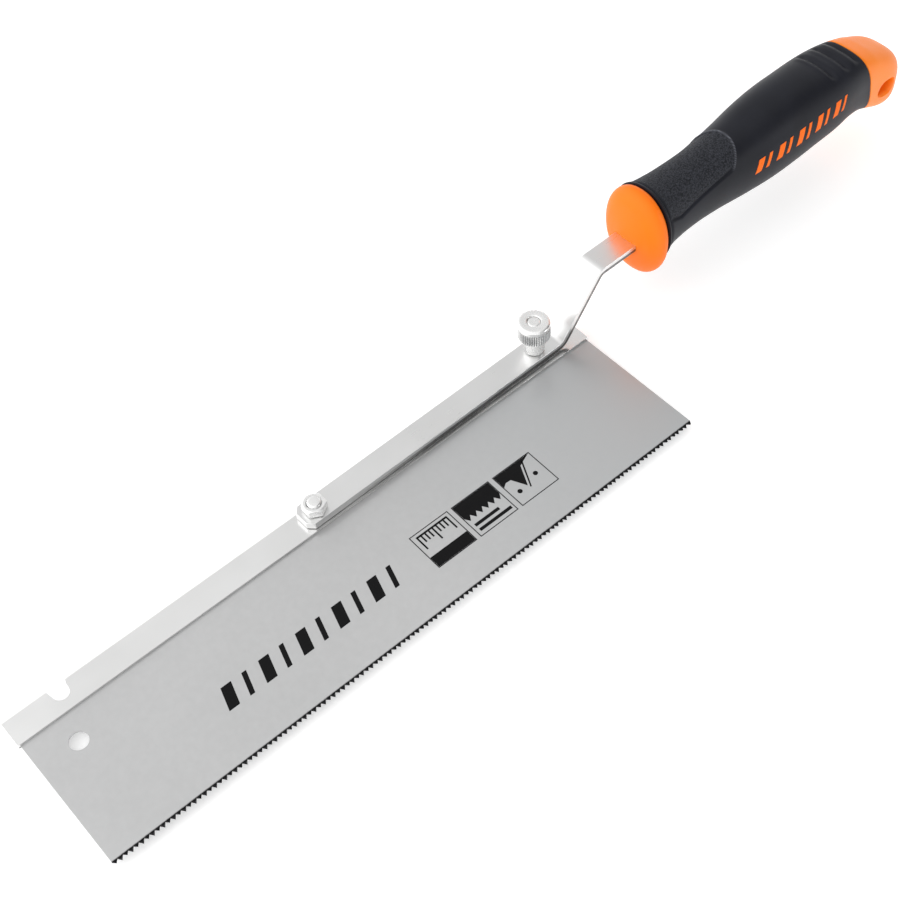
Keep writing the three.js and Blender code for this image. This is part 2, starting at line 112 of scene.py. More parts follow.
# U, half width, crown above the tang, keel below the tang
HANDLE_STATIONS = np.array([
    (160, 14.3, 21.1, 12.4),
    (165, 13.2, 20.2, 9.6),
    (171, 12.6, 19.4, 8.5),
    (180, 12.2, 19.0, 8.2),
    (190, 12.3, 18.9, 8.8),
    (208, 13.7, 20.8, 10.8),
    (220, 14.9, 23.0, 11.3),
    (232, 15.5, 24.3, 10.8),
    (244, 15.5, 24.3, 9.8),
    (256, 15.0, 23.3, 8.2),
    (266, 13.8, 22.0, 6.6),
    (274, 12.9, 20.4, 7.8),
    (281, 12.6, 18.2, 10.8),
])


# ---- small tools -----------------------------------------------------------------------------------

def smoothstep(x, low, high):
    t = np.clip((np.asarray(x, float) - low) / (high - low), 0, 1)
    return t * t * (3 - 2 * t)


def bump_curve(x, width):
    """1 at x = 0, falling smoothly to 0 about one width away."""
    return np.exp(-(np.asarray(x, float) / width) ** 2 * 2)


def in_strap_frame(points):
    """Points given as (U, V, Z), moved into the row frame."""
    points = np.asarray(points, float)
    c, s = math.cos(STRAP_ANGLE), math.sin(STRAP_ANGLE)
    out = points.copy()
    out[:, 0] = c * points[:, 0] - s * points[:, 1]
    out[:, 1] = s * points[:, 0] + c * points[:, 1] + PIVOT_Y
    return out


def grid_faces(rows, columns, wrap_rows=False):
    """Quads over a grid of vertices whose columns close into rings."""
    faces = []
    for i in range(rows if wrap_rows else rows - 1):
        for j in range(columns):
            a, b = i * columns, ((i + 1) % rows) * columns
            k = (j + 1) % columns
            faces.append((a + j, a + k, b + k, b + j))
    return faces


def tube_faces(rows, columns):
    """The faces of a grid of rings with both of its ends closed."""
    last = (rows - 1) * columns
    return grid_faces(rows, columns) + [tuple(range(columns)), tuple(range(last, last + columns))]


def mesh_of(name, points, faces):
    """A mesh from points in millimetres."""
    mesh = bpy.data.meshes.new(name)
    mesh.from_pydata([tuple(p) for p in np.asarray(points, float) * MM], [], faces)
    return mesh


def face_outward(mesh, clean_up=None):
    """Turns all faces outward; clean_up(bmesh), if any, runs first on the merged vertices."""
    work = bmesh.new()
    work.from_mesh(mesh)
    if clean_up:
        bmesh.ops.remove_doubles(work, verts=work.verts, dist=2e-6)
        clean_up(work)
    bmesh.ops.recalc_face_normals(work, faces=work.faces)
    work.to_mesh(mesh)
    work.free()


def paint(mesh, name, values):
    """Stores a number from 0 to 1 at each vertex, for a material to read."""
    mesh.attributes.new(name, "FLOAT", "POINT").data.foreach_set("value", np.asarray(values, np.float32))


def make(name, points, faces, material, body, slot, node=None, sharp=None):
    """A closed mesh piece that rides on a CAD body. Points are in millimetres, in the row frame."""
    mesh = mesh_of(name, points, faces)
    face_outward(mesh, lambda work: bmesh.ops.dissolve_degenerate(work, edges=work.edges, dist=1e-7))
    return place(name, mesh, material, body, node, sharp)


def place(name, mesh, material, body, node=None, sharp=None):
    """Puts a mesh into the scene as a smooth piece, with edges sharper than an angle left hard."""
    for polygon in mesh.polygons:
        polygon.use_smooth = True
    if sharp is not None:
        mesh.set_sharp_from_angle(angle=math.radians(sharp))
    mesh.materials.clear()
    mesh.materials.append(material)
    piece = bpy.data.objects.new(name, mesh)
    bpy.context.scene.collection.objects.link(piece)
    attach(piece, body)
    if node:
        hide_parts(node)
    return piece


def baked(piece):
    """Applies the piece's modifiers to its mesh."""
    graph = bpy.context.evaluated_depsgraph_get()
    mesh = bpy.data.meshes.new_from_object(piece.evaluated_get(graph))
    piece.modifiers.clear()
    piece.data = mesh
    return piece


def turned(profile, segments, wave=None):
    """A profile of (radius, z) turned about the Z axis; wave(angle, radius, z) reshapes a ring's radius."""
    angles = np.arange(segments) * 2 * math.pi / segments
    points, faces, rings = [], [], []
    for radius, z in profile:
        if radius == 0:
            rings.append([len(points)])
            points.append((0, 0, z))
            continue
        radii = wave(angles, radius, z) if wave else np.full(segments, radius)
        rings.append(list(range(len(points), len(points) + segments)))
        points.extend(zip(radii * np.cos(angles), radii * np.sin(angles), np.full(segments, z)))
    closed = profile[0][0] != 0
    pairs = list(zip(rings, rings[1:])) + ([(rings[-1], rings[0])] if closed else [])
    for low, high in pairs:
        for j in range(segments):
            k = (j + 1) % segments
            if len(low) == 1:
                faces.append((low[0], high[k], high[j]))
            elif len(high) == 1:
                faces.append((low[j], low[k], high[0]))
            else:
                faces.append((low[j], low[k], high[k], high[j]))
    return np.array(points, float), faces


def prism(outline, z0, z1, holes=()):
    """A flat outline with holes, raised from z0 to z1."""
    loops = [list(outline)] + [list(hole) for hole in holes]
    flat = [point for loop in loops for point in loop]
    triangles = tessellate_polygon([[Vector((x, y, 0)) for x, y in loop] for loop in loops])
    count = len(flat)
    points = [(x, y, z0) for x, y in flat] + [(x, y, z1) for x, y in flat]
    faces = [tuple(t) for t in triangles]
    faces += [tuple(i + count for i in reversed(t)) for t in triangles]
    start = 0
    for loop in loops:
        size = len(loop)
        for i in range(size):
            a, b = start + i, start + (i + 1) % size
            faces.append((a, b, b + count, a + count))
        start += size
    return np.array(points, float), faces


def circle(x, y, radius, steps=48):
    return [(x + radius * math.cos(2 * math.pi * i / steps), y + radius * math.sin(2 * math.pi * i / steps))
            for i in range(steps)]


# ---- materials -------------------------------------------------------------------------------------

class Look:
    """A node material with one Principled shader, and short ways to add to it."""

    def __init__(self, name, color, roughness, metallic=0.0, **more):
        self.material = bpy.data.materials.new(name)
        self.material.use_nodes = True
        self.tree = self.material.node_tree
        self.shader = self.tree.nodes["Principled BSDF"]
        self.shader.inputs["Base Color"].default_value = (*color, 1)
        self.shader.inputs["Roughness"].default_value = roughness
        self.shader.inputs["Metallic"].default_value = metallic
        for key, value in more.items():
            self.shader.inputs[key.replace("_", " ")].default_value = value
        self.coordinates = self.add("ShaderNodeTexCoord").outputs["Object"]
        self.normal = None

    def add(self, kind, inputs=None, **settings):
        node = self.tree.nodes.new(kind)
        for key, value in settings.items():
            setattr(node, key, value)
        for key, value in (inputs or {}).items():
            if isinstance(value, bpy.types.NodeSocket):
                self.tree.links.new(value, node.inputs[key])
            else:
                node.inputs[key].default_value = value
        return node

    def math(self, operation, a, b):
        return self.add("ShaderNodeMath", {0: a, 1: b}, operation=operation).outputs[0]

    def vector_math(self, operation, inputs):
        return self.add("ShaderNodeVectorMath", inputs, operation=operation).outputs

    def attribute(self, name):
        """A number painted on the mesh."""
        node = self.add("ShaderNodeAttribute", attribute_name=name, attribute_type="GEOMETRY")
        return node.outputs["Fac"]

    def span(self, value, from_low, from_high, to_low, to_high):
        """Maps one range onto another, and holds the ends."""
        inputs = {"Value": value, "From Min": from_low, "From Max": from_high,
                  "To Min": to_low, "To Max": to_high}
        return self.add("ShaderNodeMapRange", inputs).outputs["Result"]

    def stretched(self, scale):
        return self.add("ShaderNodeMapping", {"Vector": self.coordinates, "Scale": scale}).outputs[0]

    def noise(self, scale, detail=3.0, vector=None, roughness=0.5):
        inputs = {"Vector": vector or self.coordinates, "Scale": scale, "Detail": detail,
                  "Roughness": roughness}
        return self.add("ShaderNodeTexNoise", inputs).outputs["Fac"]

    def cells(self, scale, vector):
        inputs = {"Vector": vector, "Scale": scale}
        return self.add("ShaderNodeTexVoronoi", inputs, feature="SMOOTH_F1").outputs["Distance"]

    def mix(self, factor, a, b):
        node = self.add("ShaderNodeMix", data_type="RGBA")
        for socket, value in ((node.inputs[0], factor), (node.inputs[6], a), (node.inputs[7], b)):
            if isinstance(value, bpy.types.NodeSocket):
                self.tree.links.new(value, socket)
            else:
                socket.default_value = value
        return node.outputs[2]

    def color(self, socket):
        self.tree.links.new(socket, self.shader.inputs["Base Color"])

    def roughness(self, socket):
        self.tree.links.new(socket, self.shader.inputs["Roughness"])

    def bump(self, height, distance):
        """Adds relief; distance is the height of a full step, in metres."""
        inputs = {"Height": height, "Distance": distance, "Strength": 1.0}
        if self.normal is not None:
            inputs["Normal"] = self.normal
        self.normal = self.add("ShaderNodeBump", inputs).outputs["Normal"]
        self.tree.links.new(self.normal, self.shader.inputs["Normal"])


def steel(name, tone, roughness, spread, grain=(1, 1, 1), grain_scale=900, relief=1.5e-6, metallic=1.0):
    """Metal with slightly uneven gloss, faint tone changes and a fine directional grain."""
    look = Look(name, (tone, tone, tone * 0.992), roughness, metallic)
    fine = look.noise(grain_scale, 4, look.stretched(grain))
    broad = look.noise(28, 3)
    look.roughness(look.span(look.math("ADD", fine, broad), 0.7, 1.3,
                             roughness - spread, roughness + spread))
    low = (tone * 0.95, tone * 0.95, tone * 0.945, 1)
    high = (min(tone * 1.04, 1), min(tone * 1.04, 1), min(tone * 1.035, 1), 1)
    look.tone = look.mix(look.span(broad, 0.3, 0.7, 0, 1), low, high)
    look.color(look.tone)
    look.bump(fine, relief)
    return look


def strap_look():
    """Bright plate whose punched edges are dull and dark on the marked lower side faces: partly a duller
    sheared edge, partly painted shade.
    """
    look = steel("strap zinc plate", 0.8, 0.3, 0.03, (0.1, 1, 1), 1200, 3e-7)
    streaks = look.span(look.noise(1.0, 4, look.stretched((3000, 3000, 300))), 0.3, 0.7, 0.1, 0.25)
    dull_and_shaded = look.add("ShaderNodeCombineColor", {0: streaks, 1: streaks, 2: streaks}).outputs[0]
    # Painted shade, partly a real dull sheared edge: the marked side-face vertices get a dark grey.
    look.color(look.mix(look.attribute("torn_and_shaded"), look.tone, dull_and_shaded))
    return look.material


def blade_look():
    """Satin sheet with lengthwise polishing lines, painted shade that darkens it towards the heel, and a
    black hardened tooth edge.
    """
    look = Look("blade satin steel", (0.6, 0.6, 0.597), 0.3, 0.6, Specular_IOR_Level=0.1)
    lines = look.noise(1.0, 5, look.stretched((90, 4200, 400)), 0.6)
    cloud = look.noise(14, 4)
    mottle = look.noise(420, 3)
    look.roughness(look.span(look.math("ADD", lines, mottle), 0.7, 1.3, 0.3, 0.33))
    tone = look.math("ADD", look.math("MULTIPLY", cloud, 0.6), look.math("MULTIPLY", mottle, 0.4))
    sheet = look.mix(look.span(tone, 0.35, 0.65, 0, 1), (0.55, 0.552, 0.553, 1), (0.59, 0.592, 0.593, 1))
    split = look.add("ShaderNodeSeparateXYZ", {0: look.coordinates})
    # Painted shade: the sheet's colour turns darker and a little bluer towards the heel, standing in for the
    # duller reflection there.
    painted_heel_shade = look.span(split.outputs["X"], 20 * MM, BLADE_HALF * MM, 0, 1)
    sheet = look.mix(painted_heel_shade, sheet, (0.485, 0.5, 0.507, 1))
    slope = (HEEL_LINE_Y - TOE_LINE_Y) / (2 * BLADE_HALF)
    middle = (HEEL_LINE_Y + TOE_LINE_Y) / 2 * MM
    line = look.math("ADD", look.math("MULTIPLY", split.outputs["X"], slope), middle)
    above = look.math("SUBTRACT", split.outputs["Y"], line)
    ragged = look.math("ADD", above, look.math("MULTIPLY", look.noise(900, 2), 0.25 * MM))
    burnt = look.span(ragged, 1.55 * MM, 1.95 * MM, 1, 0)
    look.color(look.mix(burnt, sheet, (0.006, 0.006, 0.007, 1)))
    look.tree.links.new(look.span(burnt, 0, 1, 0.6, 0.25), look.shader.inputs["Metallic"])
    look.bump(lines, 3e-7)
    look.bump(mottle, 3e-7)
    return look.material


def plastic(name, color, deep, shine=0.2):
    """Moulded plastic: a little colour drift and a very fine spark-eroded surface."""
    look = Look(name, color, 0.42, Specular_IOR_Level=shine)
    drift = look.noise(35, 3)
    look.color(look.mix(look.span(drift, 0.35, 0.65, 0, 1), (*deep, 1), (*color, 1)))
    fine = look.noise(2600, 2)
    look.roughness(look.span(fine, 0.3, 0.7, 0.36, 0.5))
    look.bump(fine, 6e-6)
    return look.material


def rubber_look():
    """Soft overmould, grained like leather where pad is 1, with a painted highlight on the raised line behind
    the thumb pad.
    """
    look = Look("grip soft rubber", (0.012, 0.013, 0.0175), 0.5, Specular_IOR_Level=0.2)
    pad = look.attribute("pad")
    drift = look.noise(60, 3)
    body = look.mix(look.span(drift, 0.35, 0.65, 0, 1),
                    (0.0085, 0.0092, 0.0135, 1), (0.012, 0.013, 0.019, 1))
    wander = look.add("ShaderNodeTexNoise", {"Vector": look.coordinates, "Scale": 700.0}).outputs["Color"]
    shift = look.vector_math("SCALE", {0: wander, "Scale": 0.0012})[0]
    leather = look.cells(2000, look.vector_math("ADD", {0: look.coordinates, 1: shift})[0])
    pebble = look.span(leather, 0.05, 0.6, 1, 0)
    grained = look.mix(pebble, (0.009, 0.010, 0.013, 1), (0.050, 0.053, 0.066, 1))
    # Painted highlight: the raised line behind the thumb pad is coloured a lighter grey.
    look.color(look.mix(look.attribute("ridge_highlight"), look.mix(pad, body, grained), (0.11, 0.115, 0.135, 1)))
    look.roughness(look.span(pad, 0, 1, 0.47, 0.58))
    fine = look.noise(3200, 2)
    look.bump(fine, 7e-6)
    look.bump(look.math("MULTIPLY", pebble, pad), 1.6e-4)
    return look.material


def ink_look(name, color, roughness):
    look = Look(name, color, roughness, Specular_IOR_Level=0.12)
    speckle = look.noise(1500, 3)
    lighter = tuple(min(c * 1.3 + 0.002, 1) for c in color)
    look.color(look.mix(look.span(speckle, 0.55, 0.8, 0, 1), (*color, 1), (*lighter, 1)))
    look.bump(speckle, 4e-6)
    return look.material


def knob_look():
    """Bright zinc with painted shade in the valleys between the ridges of the knurl."""
    look = steel("thumb nut bright zinc", 0.86, 0.27, 0.06, metallic=0.75)
    wide, soft = THUMB_HEAD_RADIUS, 0.1
    axis = in_strap_frame([(NOTCH_FROM_PIVOT, 0, 0)])[0] * MM
    arm = look.vector_math("SUBTRACT", {0: look.coordinates, 1: tuple(axis)})[0]
    split = look.add("ShaderNodeSeparateXYZ", {0: arm})
    flat = look.add("ShaderNodeCombineXYZ", {0: split.outputs["X"], 1: split.outputs["Y"]}).outputs[0]
    reach = look.vector_math("LENGTH", {0: flat})["Value"]
    valley_shade = look.span(reach, (wide - 0.2) * MM, (wide + 0.1) * MM, 1, 0)
    above = look.span(split.outputs["Z"], (KNURL_LOW_Z - soft) * MM, (KNURL_LOW_Z + soft) * MM, 0, 1)
    below = look.span(split.outputs["Z"], (KNURL_HIGH_Z - soft) * MM, (KNURL_HIGH_Z + soft) * MM, 1, 0)
    outer = look.span(reach, (wide - 0.5) * MM, (wide - 0.4) * MM, 0, 1)
    inside = look.math("MULTIPLY", look.math("MULTIPLY", above, below), outer)
    # Painted shade: the knurl's valleys are coloured a darker grey.
    look.color(look.mix(look.math("MULTIPLY", valley_shade, inside), look.tone, (0.42, 0.42, 0.425, 1)))
    return look.material


BLADE = blade_look()
BACK = steel("back bright sheet", 0.86, 0.22, 0.05, (0.06, 1, 1), 1600).material
STRAP = strap_look()
SCREW = steel("screw zinc plate", 0.86, 0.28, 0.06, metallic=0.75).material
KNOB = knob_look()
ORANGE = plastic("collar orange plastic", (0.98, 0.2, 0.006), (0.95, 0.175, 0.004))
# Painted light: the cap is the collar's orange plastic made lighter, standing in for the light on its top.
ORANGE_CAP_PAINTED_LIGHTER = plastic("cap orange plastic painted lighter", (1.0, 0.25, 0.012), (0.99, 0.22, 0.009), 0.45)
RUBBER = rubber_look()
INK = ink_look("blade print black", (0.004, 0.004, 0.0045), 0.6)
INLAY = ink_look("grip print orange", (0.95, 0.16, 0.01), 0.5)


# ---- blade -------------------------------------------------------------------------------------------

def tooth_line(x):
    return TOE_LINE_Y + (HEEL_LINE_Y - TOE_LINE_Y) * (x + BLADE_HALF) / (2 * BLADE_HALF)


def notch_edge(x):
    """The notch that takes the locking stud, from its right mouth round the seat to its left."""
    mouth = NOTCH_RADIUS + NOTCH_FLARE * (BLADE_TOP_Y - NOTCH_SEAT_Y)
    steps = 20
    turns = [math.pi * i / steps for i in range(steps + 1)]
    seat = [(x + NOTCH_RADIUS * math.cos(a), NOTCH_SEAT_Y - NOTCH_RADIUS * math.sin(a)) for a in turns]
    return [(x + mouth, BLADE_TOP_Y), *seat, (x - mouth, BLADE_TOP_Y)]


def blade_mesh():
    """The sheet with its teeth: every second tooth is set up, and their flanks are filed at a slant."""
    pitch = 2 * BLADE_HALF / TOOTH_COUNT
    gullets = [-BLADE_HALF + i * pitch for i in range(TOOTH_COUNT + 1)]
    outline = [(x, tooth_line(x) + TOOTH_DEPTH) for x in gullets]
    outline += [(BLADE_HALF, BLADE_TOP_Y), *notch_edge(NOTCH_FROM_PIVOT), *notch_edge(-NOTCH_FROM_PIVOT),
                (-BLADE_HALF, BLADE_TOP_Y)]
    hole = circle(*HANG_HOLE, 64)
    points, faces = prism(outline, 0, BLADE_THICKNESS, [hole])
    layer = len(outline) + len(hole)
    points = [tuple(p) for p in points]
    below = set(range(TOOTH_COUNT + 1))
    faces = [f for f in faces if not (len(f) == 4 and set(i % layer for i in f) <= below)]
    for i in range(TOOTH_COUNT):
        middle = (gullets[i] + gullets[i + 1]) / 2
        raised = i % 2 == 0
        lift, short = (TOOTH_SET, 0.0) if raised else (0.0, LOW_TOOTH_DROP)
        near, far = (TOOTH_SLANT, 0.0) if raised else (0.0, TOOTH_SLANT)
        tip = len(points)
        points.append((middle, tooth_line(middle) + short + near, lift))
        points.append((middle, tooth_line(middle) + short + far, BLADE_THICKNESS + lift))
        a, b = i, i + 1
        faces += [(a, tip, b), (a + layer, b + layer, tip + 1),
                  (a, a + layer, tip + 1, tip), (tip, tip + 1, b + layer, b)]
    return points, faces


make("blade_sheet", *blade_mesh(), BLADE, "blade_unit", "blade_steel", "saw_blade", sharp=20)


def folded_back_piece():
    """The CAD back with its flat faces merged and its edges rounded."""
    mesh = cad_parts["spine_back"].data.copy()
    mesh.name = "folded_back"
    face_outward(mesh, lambda work: bmesh.ops.dissolve_limit(
        work, angle_limit=math.radians(0.6), verts=work.verts, edges=work.edges))
    piece = place("folded_back", mesh, BACK, "blade_unit", "spine_back")
    bevel = piece.modifiers.new("rounded edges", "BEVEL")
    bevel.width = 0.12 * MM
    bevel.segments = 2
    bevel.limit_method = "ANGLE"
    bevel.angle_limit = math.radians(35)
    bevel.use_clamp_overlap = True
    piece.modifiers.new("flat faces stay flat", "WEIGHTED_NORMAL")
    baked(piece)


folded_back_piece()


# ---- prints on the blade: plain shapes in place of words --------------------------------------------

PRINT_LOW, PRINT_HIGH = BLADE_THICKNESS - 0.002, BLADE_THICKNESS + 0.018
PRINT_TILT = math.radians(-0.45)
BOX_WIDTH, BOX_HEIGHT = 17.3, 16.3
BOX_LINE, FILL_INSET = 0.35, 0.4


def tilted(x, y, origin):
    c, s = math.cos(PRINT_TILT), math.sin(PRINT_TILT)
    return origin[0] + c * x - s * y, origin[1] + s * x + c * y


def print_piece(name, shapes, origin):
    """One print made of several flat outlines, each with its holes."""
    points, faces = np.zeros((0, 3)), []
    for outline, *holes in shapes:
        loops = [[tilted(x, y, origin) for x, y in loop] for loop in (outline, *holes)]
        more, quads = prism(loops[0], PRINT_LOW, PRINT_HIGH, loops[1:])
        faces += [tuple(i + len(points) for i in face) for face in quads]
        points = np.vstack([points, more])
    make(name, points, faces, INK, "blade_unit", "blade_steel", sharp=30)


def rectangle(x0, y0, x1, y1):
    return [(x0, y0), (x1, y0), (x1, y1), (x0, y1)]


def box_frame():
    inner = rectangle(BOX_LINE, BOX_LINE, BOX_WIDTH - BOX_LINE, BOX_HEIGHT - BOX_LINE)
    return [rectangle(0, 0, BOX_WIDTH, BOX_HEIGHT), inner[::-1]]


def length_print():
    """A ruler over a black band, for the blade's length."""
    band, left, tick, gap, top, edge = 5.2, 1.9, 0.65, 1.0, 14.9, 0.8
    long_tick, short_tick, ticks = 6.4, 3.8, 9
    comb = [(left, top)]
    for i in range(ticks):
        x = left + i * (tick + gap)
        foot = top - (long_tick if i % 4 == 0 else short_tick)
        comb += [(x, foot), (x + tick, foot)]
        if i < ticks - 1:
            comb += [(x + tick, top - edge), (x + tick + gap, top - edge)]
    comb.append((x + tick, top))
    return [box_frame(), [rectangle(FILL_INSET, FILL_INSET, BOX_WIDTH - FILL_INSET, band)], [comb]]


def pitch_print():
    """A row of teeth hanging from a black half, over two lines, for the tooth pitch."""
    root, tip, count = 9.6, 7.4, 6
    left, right, top = FILL_INSET, BOX_WIDTH - FILL_INSET, BOX_HEIGHT - FILL_INSET
    step = (BOX_WIDTH - 2 * FILL_INSET) / count
    teeth = [(left, top), (left, root)]
    for i in range(count):
        teeth += [(left + (i + 0.5) * step, tip), (left + (i + 1) * step, root)]
    teeth.append((right, top))
    lines = [[rectangle(1.6, y, 1.6 + reach, y + 1.3)] for y, reach in ((1.8, 14.6), (4.3, 11.0))]
    return [box_frame(), [teeth], *lines]


def cut_print():
    """A notch cut into a black corner, for the shape of the cut."""
    left, right, top = FILL_INSET, BOX_WIDTH - FILL_INSET, BOX_HEIGHT - FILL_INSET
    wedge = [(left, top), (left, 10.2), (2.2, 11.4), (4.4, 11.2), (7.3, 5.4), (11.2, 13.6),
             (13.6, 14.6), (right, top)]
    dots = [[circle(3.6, 5.4, 0.95, 20)], [circle(12.9, 7.6, 0.95, 20)]]
    stroke = [[(7.6, 4.4), (12.6, 15.0), (13.2, 14.8), (8.1, 4.2)]]
    return [box_frame(), [wedge], *dots, stroke]


print_piece("print_length_box", length_print(), (17.3, -12.8))
print_piece("print_pitch_box", pitch_print(), (36.3, -13.0))
print_piece("print_cut_box", cut_print(), (55.5, -13.2))


def bar_print():
    """A row of bold slanted bars, thick and thin in turn."""
    shapes = []
    x, height, lean = 0.0, 8.8, 2.6
    for i in range(10):
        width, gap = (4.2, 4.2) if i % 2 == 0 else (1.9, 4.9)
        shapes.append([[(x, 0), (x + width, 0), (x + width + lean, height), (x + lean, height)]])
        x += width + gap
    return shapes


print_piece("print_bar_row", bar_print(), (-68.0, -8.4))


# ---- screws ------------------------------------------------------------------------------------------

def thread(low, high):
    """A wave that cuts a screw thread into the ring radii between two heights."""
    def wave(angles, radius, z):
        radii = np.full(len(angles), float(radius))
        if low <= z <= high and radius <= THREAD_RADIUS:
            phase = (z / THREAD_PITCH - angles / (2 * math.pi)) % 1
            fade = min((high - z) / THREAD_PITCH, (z - low) / THREAD_PITCH, 1)
            radii -= THREAD_DEPTH * fade * np.abs(2 * phase - 1) ** 1.2
        return radii
    return wave


def thread_rows(low, high):
    """Rings close enough together to carry the thread."""
    rows = int((high - low) / (THREAD_PITCH / 8))
    return [(THREAD_RADIUS, low + (high - low) * i / rows) for i in range(rows + 1)]


def at_pivot(points):
    return points + np.array([0, PIVOT_Y, 0])


def at_stud(points):
    return in_strap_frame(points + np.array([NOTCH_FROM_PIVOT, 0, 0]))


def pivot_bolt_mesh():
    seat, top = -1.1, NUT_TOP_Z + 0.8
    low = seat - 1.3
    socket = 1.5
    shaft = thread_rows(seat + 0.3, top - 0.45)
    profile = [(0, low + 0.95), (socket - 0.02, low + 0.9), (socket, low + 0.12), (socket + 0.12, low)]
    profile += [(3.3, low), (3.9, low + 0.1), (4.4, low + 0.45), (4.66, low + 0.9), (4.7, seat - 0.06),
                (4.62, seat), (2.6, seat), (THREAD_RADIUS, seat + 0.1)]
    profile += [*shaft, (2.3, top - 0.2), (2.0, top - 0.05), (1.7, top), (0.9, top + 0.03), (0, top + 0.04)]
    cut_thread = thread(seat + 0.2, top - 0.4)

    def wave(angles, radius, z):
        if radius <= socket and z < seat:
            folded = (angles + math.pi / 6) % (math.pi / 3) - math.pi / 6
            return radius / np.cos(folded)
        return cut_thread(angles, radius, z)

    points, faces = turned(profile, 72, wave)
    return at_pivot(points), faces


def hex_radius(angles, flat):
    folded = (angles - math.pi / 2 + math.pi / 6) % (math.pi / 3) - math.pi / 6
    return flat / np.cos(math.pi / 6 - np.abs(folded))


def pivot_nut_mesh():
    """Hexagon nut: the chamfer cuts scallops into the corners, and the bore is countersunk."""
    low, top, flat = NUT_SEAT_Z, NUT_TOP_Z, 4.0
    segments = 144
    angles = np.arange(segments) * 2 * math.pi / segments
    hexagon = hex_radius(angles, flat)
    slope = math.tan(math.radians(30))
    washer_face = flat * 0.95
    rows = []
    for radii, heights in (
        (np.full(segments, 2.62), np.full(segments, low + 0.35)),
        (np.full(segments, 2.95), np.full(segments, low)),
        (np.full(segments, washer_face), np.full(segments, low)),
        (hexagon, low + (hexagon - washer_face) * slope * 0.7),
        (hexagon, top - (hexagon - washer_face) * slope - 0.02),
        (hexagon - 0.05, top - (hexagon - 0.05 - washer_face) * slope + 0.01),
        (np.full(segments, washer_face), np.full(segments, top)),
        (np.full(segments, 3.0), np.full(segments, top)),
        (np.full(segments, 2.62), np.full(segments, top - 0.4)),
    ):
        rows.append(np.stack([radii * np.cos(angles), radii * np.sin(angles), heights], 1))
    points = np.vstack(rows)
    return at_pivot(points), grid_faces(len(rows), segments, wrap_rows=True)


def lock_stud_mesh():
    seat, top = -1.35, THUMB_TOP_Z - 0.25
    low = seat - 1.3
    shaft = thread_rows(seat + 0.3, top - 0.45)
    profile = [(0, low), (4.1, low), (4.5, low + 0.1), (4.75, low + 0.35), (4.8, low + 0.6),
               (4.8, seat - 0.15), (4.7, seat), (2.6, seat), (THREAD_RADIUS, seat + 0.1)]
    profile += [*shaft, (2.3, top - 0.2), (2.05, top - 0.05), (1.8, top), (0.8, top - 0.06), (0, top - 0.08)]
    points, faces = turned(profile, 64, thread(seat + 0.2, top - 0.4))
    return at_stud(points), faces


def thumb_nut_mesh():
    """Tall round nut: plain neck, straight-knurled head, and a plain band and chamfer on top."""
    low, head, top, wide = NUT_SEAT_Z, THUMB_HEAD_Z, THUMB_TOP_Z, THUMB_HEAD_RADIUS
    ridges = 44
    rows = [(2.62, top - 0.35), (2.62, low + 0.4), (2.9, low), (3.35, low),
            (3.85, low + 0.4), (4.0, low + 0.7)]
    rows += [(4.0, head - 0.2), (4.06, head - 0.06), (4.25, head + 0.05),
             (wide - 0.55, head + 0.25), (wide - 0.25, head + 0.4)]
    rows += [(wide - 0.03, z) for z in np.linspace(KNURL_LOW_Z, KNURL_HIGH_Z, 8)]
    rows += [(wide + 0.05, KNURL_HIGH_Z + 0.15), (wide + 0.13, KNURL_HIGH_Z + 0.3), (wide + 0.13, top - 0.75),
             (wide + 0.07, top - 0.6), (wide - 0.35, top - 0.25), (wide - 0.85, top - 0.03),
             (wide - 1.15, top), (2.95, top), (2.78, top - 0.08)]

    def wave(angles, radius, z):
        radii = np.full(len(angles), float(radius))
        edge = min((z - KNURL_LOW_Z) / 0.4, (KNURL_HIGH_Z - z) / 0.4)
        if edge >= -1e-6 and radius > 5:
            tooth = 1 - np.abs(np.mod(angles * ridges / math.pi, 2) - 1)
            radii += (0.44 * tooth - 0.26) * min(edge + 0.25, 1)
        return radii

    points, faces = turned(rows, ridges * 8, wave)
    return at_stud(points), faces


make("pivot_bolt_turned", *pivot_bolt_mesh(), SCREW, "blade_unit", "plated_screw", "pivot_bolt", sharp=38)
make("pivot_nut_hexagon", *pivot_nut_mesh(), SCREW, "blade_unit", "plated_nut", "pivot_nut", sharp=22)
make("lock_stud_threaded", *lock_stud_mesh(), SCREW, "lock_stud", "plated_stud", "lock_stud", sharp=38)
make("thumb_nut_knurled", *thumb_nut_mesh(), KNOB, "thumb_nut", "plated_thumb_nut", "thumb_nut", sharp=40)


# ---- strap -------------------------------------------------------------------------------------------

BEND = math.atan2(STRAP_RISE, UPPER_BEND_U - LOWER_BEND_U)
BEND_REACH = BEND_RADIUS * math.tan(BEND / 2)
BEND_ARC = BEND_RADIUS * BEND
FLAT_LENGTH = LOWER_BEND_U - BEND_REACH
RAMP_LENGTH = math.hypot(UPPER_BEND_U - LOWER_BEND_U, STRAP_RISE) - 2 * BEND_REACH


def along_strap(s):
    """Centre line at arc length s: (U, Z, slope angle)."""
    first, arc, ramp = FLAT_LENGTH, BEND_ARC, RAMP_LENGTH
    if s <= first:
        return s, STRAP_MID_Z, 0.0
    if s <= first + arc:
        turn = (s - first) / BEND_RADIUS
        return first + BEND_RADIUS * math.sin(turn), STRAP_MID_Z + BEND_RADIUS * (1 - math.cos(turn)), turn
    if s <= first + arc + ramp:
        run = s - first - arc + BEND_REACH
        return LOWER_BEND_U + run * math.cos(BEND), STRAP_MID_Z + run * math.sin(BEND), BEND
    end = UPPER_BEND_U + BEND_REACH
    if s <= first + 2 * arc + ramp:
        left = BEND - (s - first - arc - ramp) / BEND_RADIUS
        return end - BEND_RADIUS * math.sin(left), TANG_Z - BEND_RADIUS * (1 - math.cos(left)), left
    return end + s - first - 2 * arc - ramp, TANG_Z, 0.0


